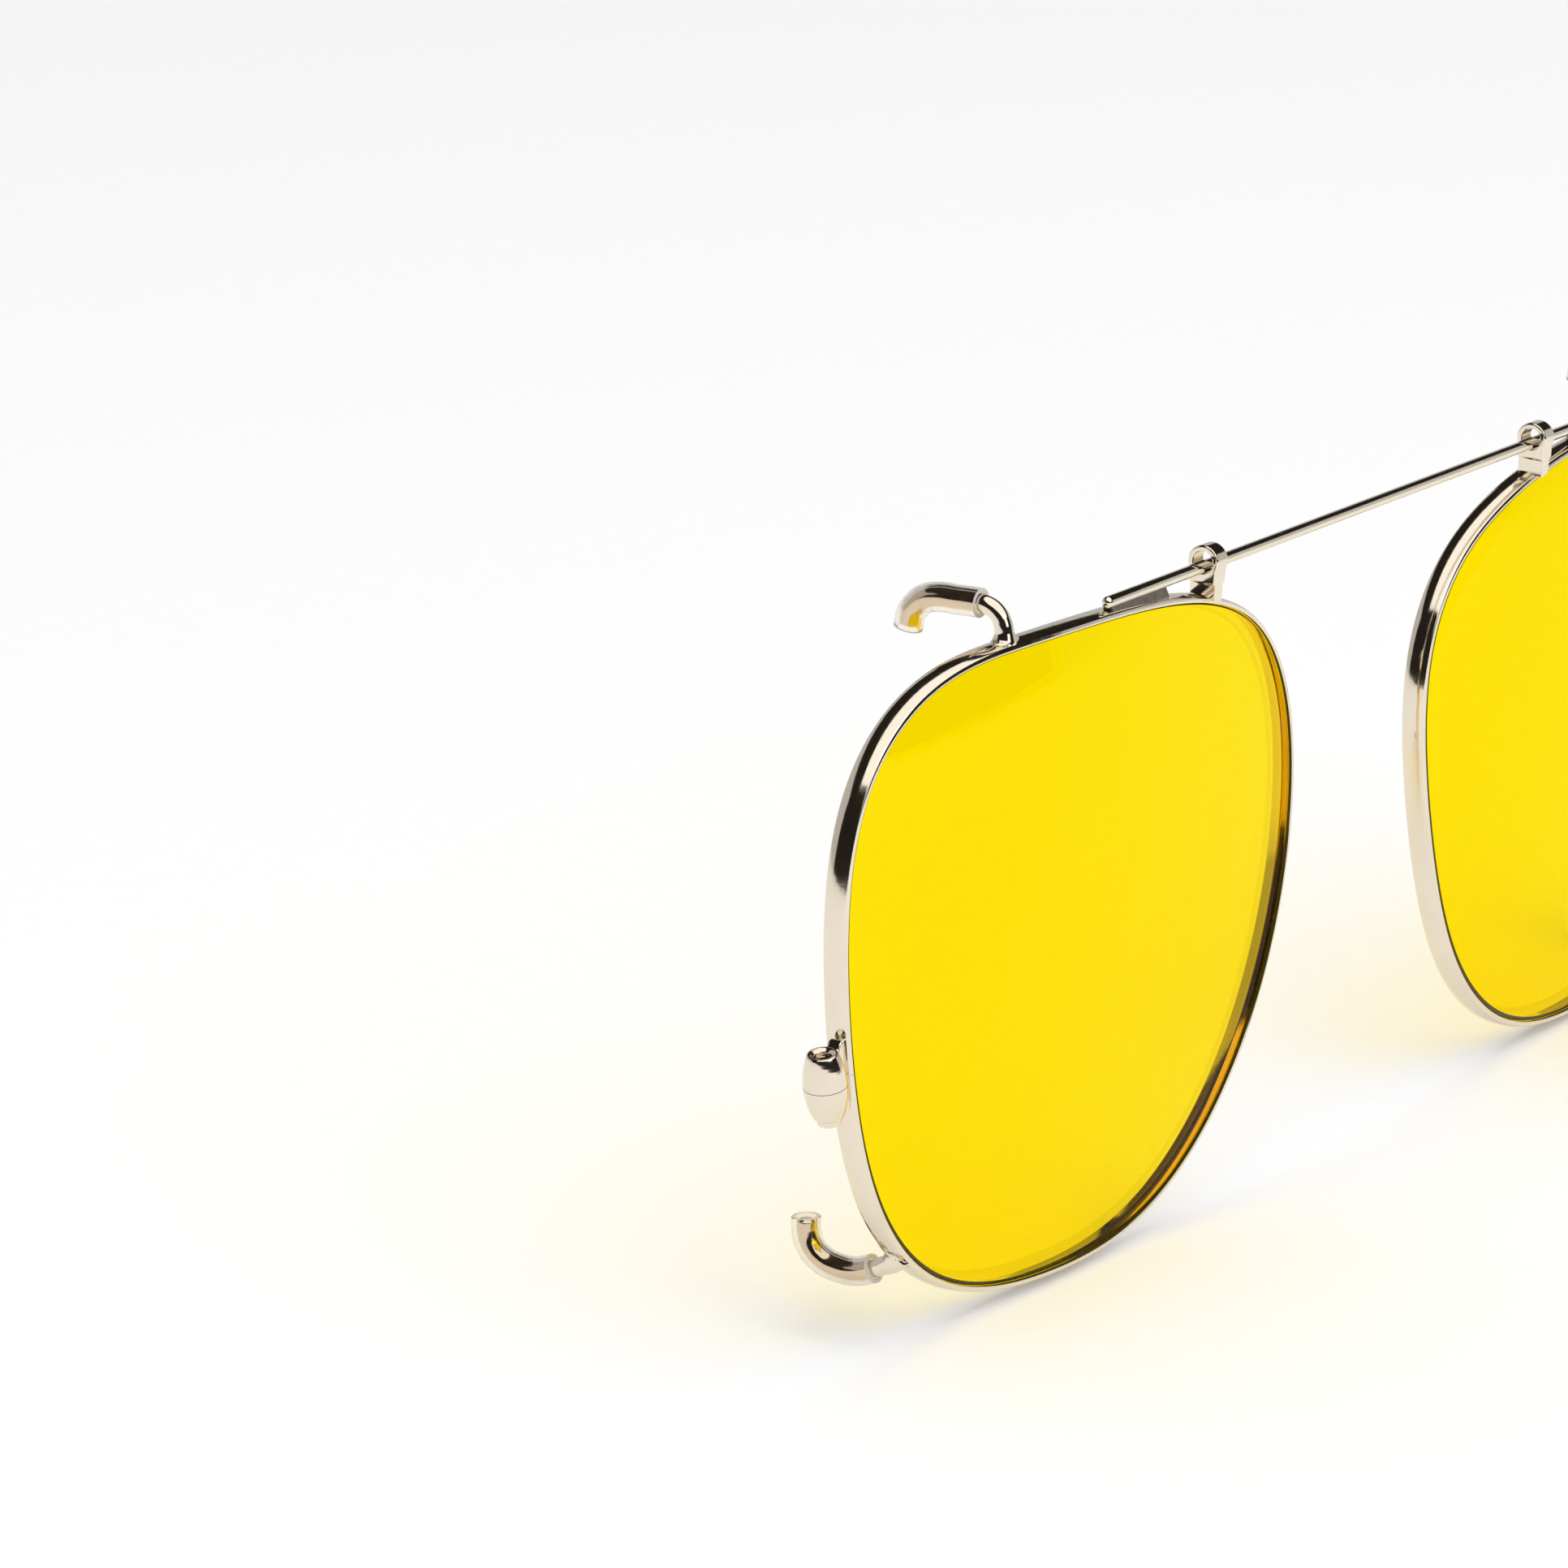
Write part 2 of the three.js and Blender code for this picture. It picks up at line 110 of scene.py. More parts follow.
LOOP_PLACE = 22.5
LOOP_LENGTH = 1.43
LOOP_RADIUS = 1.12
LOOP_HOLE_RADIUS = 0.75
LOOP_RISE = 0.3
LOOP_FOOT_WIDTH = 1.9
LOOP_STEP = 1.35
LOOP_NECK = 0.5
LOOP_TOE = 0.43
LOOP_EDGE = 0.12  # radius of the ring's edges
LOOP_SLOPE = 0.1  # height of the slope between the step and the neck
LOOP_FOOT_REACH = 2.5  # from that slope into the rim, where the rest is cut away

HOOK_ACROSS = 10.1
HOOK_DOWN = -16.9
UPPER_SLEEVE_START = 0.35
LOWER_SLEEVE_START = 0.25
SLEEVE_OVERHANG = 0.015  # share of the route past the tip of the hook

BARREL_PLACE = -2.9
BARREL_LENGTH = 4.4
BARREL_RADIUS = 1.42
BARREL_END_RADIUS = 0.97
BARREL_STANDOFF = 1.5
BARREL_BORE = 0.55
COUNTERSINK = 0.22  # depth and width of the slope into the bore at the barrel's top
BARREL_EDGE = 0.1  # radius of its top and bottom edges
BARREL_CURVE_STEPS = 8  # from its middle to each end
FOOT_THICKNESS = 1.0
FOOT_RISE = 0.25
FOOT_EDGE = 0.15  # of the foot's spread end at the rim
FOOT_START = 0.75  # share of the barrel's half length that the foot meets
FOOT_INSET = 0.7  # from the barrel's axis to where its foot starts
FOOT_ROUNDING = 0.12
PARTING_GAP = 0.04
SCREW_RADIUS = 0.48
SCREW_HEAD_RADIUS = 0.78
SCREW_HEAD_HEIGHT = 0.5
SCREW_TIP_DEPTH = 0.35
SCREW_HEAD_GAP = 0.03  # between the head and the barrel
SCREW_BEVEL = 0.05  # under the head and on the shoulder of its crown
THREAD_PITCH = 0.2
THREAD_DEPTH = 0.05
SLOT_WIDTH = 0.22
SLOT_DEPTH = 0.28

LATHE_RADIUS = 30.0  # of a ring before it is drawn out to the lens outline
LATHE_STEPS = 288
CROWN_STEPS = 10
LENS_RINGS = 24  # so that the lens curve has points to follow between its centre and its edge
CORE_SHARE = 0.45  # of the rim's wall that rim_core reaches into

SOLDER_LENGTH = 6.9
SOLDER_TOP = -0.1  # from the wire's axis to the middle of the topmost slab
SOLDER_SLAB = (0.5, 0.2)  # of that slab, front to back and up
# The slabs below it: how far each is drawn down, and how much wider it gets front to back.
SOLDER_STEPS = ((0.2, 1.35), (0.2, 1.3), (0.25, 1.25), (0.3, 1.05), (1.2, 1))
BEAD_HALF_SIZE = (1.25, 0.72, 0.2)  # along the rim, front to back, out of the rim

# A hook's route from its root: steps back, steps up, and the wire's thickness as a share.
UPPER_ROUTE = (
    (0, -0.45, 1.4), (0.02, 0.0, 1.3), (0.06, 0.5, 1.06), (0.25, 1.15, 1), (0.7, 1.7, 1),
    (1.4, 2.0, 1), (2.3, 2.02, 1), (3.7, 1.92, 1), (5.1, 1.8, 1), (6.0, 1.52, 1),
    (6.6, 1.05, 1), (7.05, 0.4, 1), (7.25, -0.6, 1),
)
LOWER_ROUTE = (
    (-0.35, 0.5, 1.25), (0.1, -0.02, 1.2), (0.8, -0.45, 1.06), (1.8, -0.95, 1), (3.0, -1.4, 1),
    (4.4, -1.5, 1), (5.6, -1.25, 1), (6.5, -0.6, 1), (6.9, 0.3, 1), (7.0, 1.3, 1),
)

# ------------------------------------------------------------------ lens outline


def spline_point(turn):
    """A place on the outline; one turn runs from 0 to 1."""
    count = len(OUTLINE)
    at = turn % 1 * count
    first = int(at)
    u = at - first
    weights = (
        (1 - u) ** 3,
        3 * u**3 - 6 * u**2 + 4,
        -3 * u**3 + 3 * u**2 + 3 * u + 1,
        u**3,
    )
    point = Vector((0, 0))
    for i, weight in enumerate(weights):
        point += Vector(OUTLINE[(first + i - 1) % count]) * weight / 6
    return point


@functools.cache
def outline_at(turn):
    """A place on the outline, the way along it and the way out of the lens there."""
    step = 1e-4
    along = (spline_point(turn + step) - spline_point(turn - step)).normalized()
    return spline_point(turn), along, Vector((along.y, -along.x))


def turn_where(axis, value, low, high):
    """The turn between low and high at which the outline passes a width (0) or a height (1)."""
    rising = spline_point(high)[axis] > spline_point(low)[axis]
    for _ in range(40):
        middle = (low + high) / 2
        if (spline_point(middle)[axis] < value) == rising:
            low = middle
        else:
            high = middle
    return (low + high) / 2


def sag(x, z):
    """How far the lens surface falls back from its vertex."""
    return LENS_RADIUS - math.sqrt(LENS_RADIUS**2 - x**2 - z**2)


# ------------------------------------------------------------------ modelling steps


def size(name):
    """One of the sizes of the panel, in millimetres."""
    return getattr(bpy.context.scene.clip_on_sizes, name) / MM


def only(obj):
    """Selects this object alone and makes it the active one."""
    bpy.ops.object.select_all(action="DESELECT")
    obj.select_set(True)
    bpy.context.view_layer.objects.active = obj


def edit(obj, kind="VERT"):
    """Opens the mesh in edit mode with nothing selected."""
    only(obj)
    bpy.ops.object.mode_set(mode="EDIT")
    bpy.ops.mesh.select_mode(type=kind)
    bpy.ops.mesh.select_all(action="DESELECT")


def close():
    bpy.ops.object.mode_set(mode="OBJECT")


def pick(obj, kind, wanted):
    """Selects the open mesh's vertices, edges or faces whose middle passes the test wanted."""
    bpy.ops.mesh.select_mode(type=kind)
    mesh = bmesh.from_edit_mesh(obj.data)
    parts = {"VERT": mesh.verts, "EDGE": mesh.edges, "FACE": mesh.faces}[kind]
    for part in parts:
        corners = [part] if kind == "VERT" else part.verts
        middle = sum((corner.co for corner in corners), Vector()) / len(corners)
        part.select_set(wanted(middle))
    mesh.select_flush_mode()
    bmesh.update_edit_mesh(obj.data)


def outward(obj):
    """Merges doubles and faces the mesh outwards."""
    edit(obj)
    bpy.ops.mesh.select_all(action="SELECT")
    bpy.ops.mesh.remove_doubles(threshold=1e-4)
    bpy.ops.mesh.normals_make_consistent(inside=False)
    close()


def apply(obj, kind, **settings):
    """Adds a modifier with these settings and applies it."""
    only(obj)
    bpy.ops.object.modifier_add(type=kind)
    modifier = obj.modifiers[-1]
    for key, value in settings.items():
        setattr(modifier, key, value)
    bpy.ops.object.modifier_apply(modifier=modifier.name)


def combine(obj, other, operation):
    """Joins another solid to obj or cuts it off, and removes the other."""
    apply(obj, "BOOLEAN", operation=operation, solver="EXACT", object=other)
    bpy.data.objects.remove(other)


def outline_face(name, corners):
    """A face in the XZ plane through these corners: across and up."""
    bpy.ops.object.select_all(action="DESELECT")
    bpy.ops.mesh.primitive_circle_add(vertices=len(corners), radius=1, fill_type="NGON")
    obj = bpy.context.object
    obj.name = name
    for vertex, (across, up) in zip(obj.data.vertices, corners):
        vertex.co = (across, 0, up)
    return obj


def round_corners(obj, radius, segments, wanted):
    """Rounds the corners of a flat face that pass the test wanted."""
    edit(obj)
    pick(obj, "VERT", wanted)
    bpy.ops.mesh.bevel(offset=radius, segments=segments, affect="VERTICES", clamp_overlap=False)
    close()


def spun(obj, steps):
    """Turns a flat face in the XZ plane once round the Z axis, into a closed solid."""
    edit(obj, "FACE")
    bpy.ops.mesh.select_all(action="SELECT")
    bpy.ops.mesh.delete(type="ONLY_FACE")
    pick(obj, "EDGE", lambda middle: abs(middle.x) < 1e-6)
    bpy.ops.mesh.delete(type="EDGE")
    bpy.ops.mesh.select_mode(type="VERT")
    bpy.ops.mesh.select_all(action="SELECT")
    bpy.ops.mesh.spin(steps=steps, angle=2 * math.pi, center=(0, 0, 0), axis=(0, 0, 1))
    close()
    outward(obj)
    return obj


def lens_shaped(obj):
    """Draws a lathe of LATHE_RADIUS out to the lens outline and bends it to the lens curve."""
    for vertex in obj.data.vertices:
        x, y, back = vertex.co
        radius = math.hypot(x, y)
        turn = round(math.atan2(y, x) / (2 * math.pi), 6)
        point, _, out = outline_at(turn)
        if radius < LATHE_RADIUS:
            place = point * (radius / LATHE_RADIUS)
        else:
            place = point + out * (radius - LATHE_RADIUS)
        vertex.co = (place.x, back + sag(place.x, place.y), place.y)
    outward(obj)


def rim_core():
    """The space inside the middle of the rim's wall, which trims what is brazed to the rim."""
    bpy.ops.object.select_all(action="DESELECT")
    bpy.ops.mesh.primitive_cylinder_add(vertices=LATHE_STEPS, radius=1, depth=40)
    obj = bpy.context.object
    depth = size("rim_wall") * CORE_SHARE
    for vertex in obj.data.vertices:
        x, y, back = vertex.co
        point, _, out = outline_at(round(math.atan2(y, x) / (2 * math.pi), 6))
        place = point + out * depth
        vertex.co = (place.x, back, place.y)
    outward(obj)
    return obj


def half_place():
    """From the axes of the right half to those of the whole, in millimetres."""
    return Matrix.Translation((LENS_CENTRE, 0, 0)) @ Matrix.Rotation(WRAP, 4, "Z")


def moved(obj, matrix):
    """Applies a placing matrix to the mesh."""
    obj.matrix_world = matrix
    only(obj)
    bpy.ops.object.transform_apply(location=True, rotation=True, scale=True)
    return obj


def softened(obj, voxel, passes):
    """One skin over the whole piece with soft corners, as casting, tumbling and plating leave it."""
    apply(obj, "REMESH", mode="VOXEL", voxel_size=voxel)
    apply(obj, "SMOOTH", factor=0.5, iterations=passes)


def dressed(obj, name, material, smooth_angle=30):
    """Brings a finished piece to metres and names it; without a material it keeps its own."""
    obj.name = name
    obj.data.name = name
    outward(obj)
    only(obj)
    bpy.ops.object.shade_smooth_by_angle(angle=math.radians(smooth_angle))
    moved(obj, Matrix.Scale(MM, 4))
    if material:
        obj.data.materials.clear()
        obj.data.materials.append(material)
    return obj


def pair(obj, name, node, material, in_half=True):
    """The right and the left copy of a piece, each riding on its own half."""
    for side, sign in SIDES.items():
        only(obj)
        bpy.ops.object.duplicate()
        copy = bpy.context.object
        place = half_place() if in_half else Matrix()
        moved(copy, Matrix.Diagonal((sign, 1, 1, 1)) @ place)
        dressed(copy, f"{side}_{name}", material)
        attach(copy, f"{side}_half")
        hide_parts(f"{side}_{node}")
    bpy.data.objects.remove(obj)


# ------------------------------------------------------------------ materials


def linear(code):
    """The linear colour of an sRGB hex code."""
    channels = [int(code[i : i + 2], 16) / 255 for i in (0, 2, 4)]
    return tuple(c / 12.92 if c <= 0.04045 else ((c + 0.055) / 1.055) ** 2.4 for c in channels)


def new_material(name):
    """An empty node material and its tree."""
    material = bpy.data.materials.new(name)
    material.use_nodes = True
    tree = material.node_tree
    tree.nodes.clear()
    return material, tree


def add(tree, kind, settings=None, **inputs):
    """Adds a node. Each input is a value, or the output of another node to link to it."""
    node = tree.nodes.new(kind)
    for key, value in (settings or {}).items():
        setattr(node, key, value)
    for key, value in inputs.items():
        socket = node.inputs[int(key[1:])] if key[1:].isdigit() else node.inputs[key.replace("_", " ")]
        if isinstance(value, bpy.types.NodeSocket):
            tree.links.new(value, socket)
        else:
            socket.default_value = value
    return node


def nickel_plate():
    """Nickel plating, tumble-polished: a warm bright mirror with a trace of uneven polish."""
    material = bpy.data.materials.get("polished nickel plating")
    if material:
        return material
    material, tree = new_material("polished nickel plating")
    colours = bpy.context.scene.clip_on_finishes
    place = add(tree, "ShaderNodeTexCoord").outputs["Object"]
    cloud = add(tree, "ShaderNodeTexNoise", Vector=place, Scale=1 / (5 * MM), Detail=2.0)
    tone = add(
        tree, "ShaderNodeMix", {"data_type": "RGBA"},
        _0=cloud.outputs["Fac"], _6=(*colours.nickel, 1), _7=(*colours.nickel_shade, 1),
    )
    haze = add(tree, "ShaderNodeTexNoise", Vector=place, Scale=1 / (0.7 * MM), Detail=4.0)
    rough = add(
        tree, "ShaderNodeMapRange",
        Value=haze.outputs["Fac"], From_Min=0.3, From_Max=0.7, To_Min=0.06, To_Max=0.13,
    )
    ripple = add(tree, "ShaderNodeTexNoise", Vector=place, Scale=1 / (0.45 * MM), Detail=1.0)
    bump = add(
        tree, "ShaderNodeBump", Strength=0.12, Distance=0.02 * MM, Height=ripple.outputs["Fac"]
    )
    metal = add(
        tree, "ShaderNodeBsdfPrincipled",
        Base_Color=tone.outputs[2], Metallic=1.0, Roughness=rough.outputs[0], Normal=bump.outputs[0],
    )
    add(tree, "ShaderNodeOutputMaterial", Surface=metal.outputs[0])
    return material


def solder_painted_in_shade():
    """Silver solder under the plating: melted and a little matt, its colour darkened as painted shade
    between the wire and the rim.
    """
    material = bpy.data.materials.get("silver solder painted in shade")
    if material:
        return material
    material, tree = new_material("silver solder painted in shade")
    place = add(tree, "ShaderNodeTexCoord").outputs["Object"]
    lumps = add(tree, "ShaderNodeTexNoise", Vector=place, Scale=1 / (0.5 * MM), Detail=3.0)
    rough = add(
        tree, "ShaderNodeMapRange",
        Value=lumps.outputs["Fac"], From_Min=0.3, From_Max=0.7, To_Min=0.12, To_Max=0.26,
    )
    # Darker than the nickel: painted shade between the wire and the rim, patchy at random.
    tone = add(
        tree, "ShaderNodeMix", {"data_type": "RGBA"},
        _0=lumps.outputs["Fac"], _6=(*linear("9A9083"), 1), _7=(*linear("6B6257"), 1),
    )
    bump = add(
        tree, "ShaderNodeBump", Strength=0.08, Distance=0.03 * MM, Height=lumps.outputs["Fac"]
    )
    metal = add(
        tree, "ShaderNodeBsdfPrincipled",
        Base_Color=tone.outputs[2], Metallic=1.0, Roughness=rough.outputs[0], Normal=bump.outputs[0],
    )
    add(tree, "ShaderNodeOutputMaterial", Surface=metal.outputs[0])
    return material


def tinted_lens():
    """Cast lens resin dyed yellow and coated: it takes out blue and mirrors very little."""
    material, tree = new_material("dyed coated lens resin")
    tint = bpy.context.scene.clip_on_finishes.lens
    one_face = tuple(math.sqrt(channel) for channel in tint)  # light crosses two faces
    place = add(tree, "ShaderNodeTexCoord").outputs["Object"]
    smears = add(tree, "ShaderNodeTexNoise", Vector=place, Scale=1 / (9 * MM), Detail=3.0)
    rough = add(
        tree, "ShaderNodeMapRange",
        Value=smears.outputs["Fac"], From_Min=0.35, From_Max=0.7, To_Min=0.0, To_Max=0.05,
    )
    through = add(tree, "ShaderNodeBsdfTransparent", Color=(*one_face, 1))
    mirror = add(tree, "ShaderNodeBsdfGlossy", Color=(1, 1, 1, 1), Roughness=rough.outputs[0])
    angle = add(tree, "ShaderNodeFresnel", IOR=1.5)
    share = add(tree, "ShaderNodeMath", {"operation": "MULTIPLY"}, _0=angle.outputs[0], _1=0.1)
    glass = add(
        tree, "ShaderNodeMixShader", _0=share.outputs[0], _1=through.outputs[0], _2=mirror.outputs[0]
    )
    lamp = add(tree, "ShaderNodeLightPath").outputs["Is Shadow Ray"]
    passed = add(tree, "ShaderNodeBsdfTransparent", Color=(*linear("FFFDEC"), 1))
    both = add(tree, "ShaderNodeMixShader", _0=lamp, _1=glass.outputs[0], _2=passed.outputs[0])
    add(tree, "ShaderNodeOutputMaterial", Surface=both.outputs[0])
    return material


def painted_groove_shade():
    """Painted shade on the lens's ground edge where it hides in the groove: dark olive and glossy,
    standing in for the groove's shade seen through the lens.
    """
    material, tree = new_material("lens edge painted with groove shade")
    place = add(tree, "ShaderNodeTexCoord").outputs["Object"]
    shade_patches = add(tree, "ShaderNodeTexNoise", Vector=place, Scale=1 / (0.6 * MM), Detail=3.0)
    # The painted groove shade, patchy at random between two dark olives.
    tone = add(
        tree, "ShaderNodeMix", {"data_type": "RGBA"},
        _0=shade_patches.outputs["Fac"], _6=(*linear("3E3600"), 1), _7=(*linear("574C00"), 1),
    )
    rough = add(
        tree, "ShaderNodeMapRange",
        Value=shade_patches.outputs["Fac"], From_Min=0.3, From_Max=0.7, To_Min=0.15, To_Max=0.3,
    )
    resin = add(
        tree, "ShaderNodeBsdfPrincipled", Base_Color=tone.outputs[2], Roughness=rough.outputs[0],
        Specular_IOR_Level=0.2,
    )
    add(tree, "ShaderNodeOutputMaterial", Surface=resin.outputs[0])
    return material


def clear_vinyl():
    """Soft clear vinyl tube: faintly cream, a little cloudy, and it lets lamplight through."""
    material, tree = new_material("soft clear vinyl")
    colours = bpy.context.scene.clip_on_finishes
    place = add(tree, "ShaderNodeTexCoord").outputs["Object"]
    cloud = add(tree, "ShaderNodeTexNoise", Vector=place, Scale=1 / (0.8 * MM), Detail=3.0)
    rough = add(
        tree, "ShaderNodeMapRange",
        Value=cloud.outputs["Fac"], From_Min=0.3, From_Max=0.7, To_Min=0.04, To_Max=0.1,
    )
    bump = add(
        tree, "ShaderNodeBump", Strength=0.15, Distance=0.02 * MM, Height=cloud.outputs["Fac"]
    )
    tube = add(
        tree, "ShaderNodeBsdfPrincipled",
        Base_Color=(*colours.sleeve, 1), Roughness=rough.outputs[0], IOR=1.5,
        Transmission_Weight=1.0, Normal=bump.outputs[0],
    )
    lamp = add(tree, "ShaderNodeLightPath").outputs["Is Shadow Ray"]
    passed = add(tree, "ShaderNodeBsdfTransparent", Color=(*colours.sleeve, 1))
    both = add(tree, "ShaderNodeMixShader", _0=lamp, _1=tube.outputs[0], _2=passed.outputs[0])
    add(tree, "ShaderNodeOutputMaterial", Surface=both.outputs[0])
    return material


def cut_vinyl():
    """The same vinyl where a blade has cut it: matt and milky."""
    material, tree = new_material("cut face of the vinyl")
    colours = bpy.context.scene.clip_on_finishes
    place = add(tree, "ShaderNodeTexCoord").outputs["Object"]
    scratches = add(tree, "ShaderNodeTexNoise", Vector=place, Scale=1 / (0.15 * MM), Detail=3.0)
    rough = add(
        tree, "ShaderNodeMapRange",
        Value=scratches.outputs["Fac"], From_Min=0.3, From_Max=0.7, To_Min=0.4, To_Max=0.6,
    )
    face = add(
        tree, "ShaderNodeBsdfPrincipled",
        Base_Color=(*colours.sleeve, 1), Roughness=rough.outputs[0], Transmission_Weight=0.4,
    )
    add(tree, "ShaderNodeOutputMaterial", Surface=face.outputs[0])
    return material


def pale_paper():
    """Matt backdrop paper, neutral white."""
    material, tree = new_material("matt backdrop paper")
    place = add(tree, "ShaderNodeTexCoord").outputs["Object"]
    grain = add(tree, "ShaderNodeTexNoise", Vector=place, Scale=1 / (2 * MM), Detail=3.0)
    tone = add(
        tree, "ShaderNodeMix", {"data_type": "RGBA"},
        _0=grain.outputs["Fac"], _6=(*linear("F7F7F7"), 1), _7=(*linear("F5F5F5"), 1),
    )
    paper = add(tree, "ShaderNodeBsdfPrincipled", Base_Color=tone.outputs[2], Roughness=0.9)
    add(tree, "ShaderNodeOutputMaterial", Surface=paper.outputs[0])
    return material


# ------------------------------------------------------------------ settings


class ClipOnSizes(bpy.types.PropertyGroup):
    """Sizes that a maker would change."""

    rim_wall: FloatProperty(
        name="Rim wall", description="Thickness of the rim's wall", default=0.5 * MM, unit="LENGTH"
    )
    rim_depth: FloatProperty(
        name="Rim depth", description="Rim from front to back", default=1.6 * MM, unit="LENGTH"
    )
    rim_edge: FloatProperty(
        name="Rim edge", description="Radius of the rim's edges", default=0.08 * MM, unit="LENGTH"
    )
    rim_crown: FloatProperty(
        name="Rim crown", description="Bulge of the rim's outer face", default=0.16 * MM, unit="LENGTH"
    )
    lens_thickness: FloatProperty(
        name="Lens thickness", description="Lens from front to back", default=0.8 * MM, unit="LENGTH"
    )
    # Width of the ground edge, which also carries the painted groove shade.
    lens_edge_width: FloatProperty(
        name="Lens edge width", description="Ground edge around the lens's face",
        default=0.42 * MM, unit="LENGTH",
    )
    wire_radius: FloatProperty(
        name="Wire radius", description="Radius of the spring wire", default=0.4 * MM, unit="LENGTH"
    )
    hook_radius: FloatProperty(
        name="Hook radius", description="Radius of the hook wire", default=0.6 * MM, unit="LENGTH"
    )
    sleeve_radius: FloatProperty(
        name="Sleeve radius", description="Outer radius of the sleeves", default=0.95 * MM, unit="LENGTH"
    )
    sleeve_bore: FloatProperty(
        name="Sleeve bore", description="Inner radius of the sleeves", default=0.65 * MM, unit="LENGTH"
    )


class ClipOnFinishes(bpy.types.PropertyGroup):
    """Colours that a maker would change."""

    nickel: FloatVectorProperty(
        name="Nickel", description="Brightest tone of the plating", subtype="COLOR",
        default=linear("EDE3D1"), min=0, max=1,
    )
    nickel_shade: FloatVectorProperty(
        name="Nickel shade", description="Darkest tone of the plating", subtype="COLOR",
        default=linear("E2D6C2"), min=0, max=1,
    )
    lens: FloatVectorProperty(
        name="Lens tint", description="Light that the lens lets through", subtype="COLOR",
        default=linear("FFE200"), min=0, max=1,
    )
    sleeve: FloatVectorProperty(
        name="Sleeve", description="Colour of the vinyl sleeves", subtype="COLOR",
        default=linear("F6EFE6"), min=0, max=1,
    )


# ------------------------------------------------------------------ pieces


def closing_frame():
    """The closing barrel's own axes: Z along the rim, X away from it, at the parting line."""
    turn = turn_where(1, BARREL_PLACE, -0.05, 0.08)
    point, along, out = outline_at(turn)
    wall = size("rim_wall")
    axis = point + out * (wall + BARREL_STANDOFF)
    fall = sag(*point)
    rise = sag(*(point + along)) - fall
    up = Vector((along.x, rise, along.y)).normalized()
    back = up.cross(Vector((out.x, 0, out.y))).normalized()
    away = back.cross(up)
    turned = Matrix((away, back, up)).transposed().to_4x4()
    return Matrix.Translation((axis.x, fall + size("rim_depth") / 2, axis.y)) @ turned


def hook_root(turn):
    """A hook's root on the rim's outer face, half-way through the rim's depth."""
    point, _, out = outline_at(turn)
    foot = point + out * size("rim_wall")
    return Vector((foot.x, sag(*foot) + size("rim_depth") / 2, foot.y))


def bent_tube(name, route, root, radius, start, end):
    """An open tube along the part of a hook's route between two shares of its length."""
    bpy.ops.object.select_all(action="DESELECT")
    bpy.ops.curve.primitive_bezier_curve_add()
    obj = bpy.context.object
    obj.name = name
    curve = obj.data
    points = curve.splines[0].bezier_points
    points.add(len(route) - len(points))
    for point, (back, up, share) in zip(points, route):
        point.co = root + Vector((0, back, up))
        point.radius = share
        point.handle_left_type = "AUTO"
        point.handle_right_type = "AUTO"
    curve.resolution_u = 10
    curve.bevel_depth = radius
    curve.bevel_resolution = 14
    curve.bevel_factor_mapping_start = "SPLINE"
    curve.bevel_factor_mapping_end = "SPLINE"
    curve.bevel_factor_start = start
    curve.bevel_factor_end = end
    curve.use_fill_caps = False
    bpy.ops.object.convert(target="MESH")
    outward(bpy.context.object)
    return bpy.context.object


def hook_places():
    """Each hook's route, its turn on the outline and the share of the route where its sleeve begins."""
    return {
        "upper": (UPPER_ROUTE, turn_where(0, HOOK_ACROSS, 0.09, 0.25), UPPER_SLEEVE_START),
        "lower": (LOWER_ROUTE, turn_where(1, HOOK_DOWN, -0.16, 0), LOWER_SLEEVE_START),
    }


class CLIP_ON_OT_rims(bpy.types.Operator):
    """Two metal rims, grooved inside for the lens and slit at the closing barrel"""

    bl_idname = "clip_on.rims"
    bl_label = "Rims"

    def execute(self, context):
        wall, deep, crown = size("rim_wall"), size("rim_depth"), size("rim_crown")
        middle = LENS_SETBACK + size("lens_thickness") / 2
        inner = LATHE_RADIUS
        bulge = [
            (inner + wall - crown * (2 * share - 1) ** 2, share * deep)
            for share in (i / CROWN_STEPS for i in range(CROWN_STEPS + 1))
        ]
        rim = outline_face("rim", [
            (inner, 0), *bulge, (inner + RIM_FLARE, deep), (inner, middle + GROOVE_DEPTH),
            (inner + GROOVE_DEPTH, middle), (inner, middle - GROOVE_DEPTH),
        ])
        round_corners(rim, size("rim_edge"), 5, lambda co: co.z < 1e-3 or co.z > deep - 1e-3)
        spun(rim, LATHE_STEPS)
        lens_shaped(rim)
        bpy.ops.object.select_all(action="DESELECT")
        bpy.ops.mesh.primitive_cube_add(size=1, scale=(8, 8, RIM_SLIT))
        slit = moved(bpy.context.object, closing_frame() @ Matrix.Diagonal((8, 8, RIM_SLIT, 1)))
        combine(rim, slit, "DIFFERENCE")
        pair(rim, "rim_ring", "rim", nickel_plate())
        return {"FINISHED"}


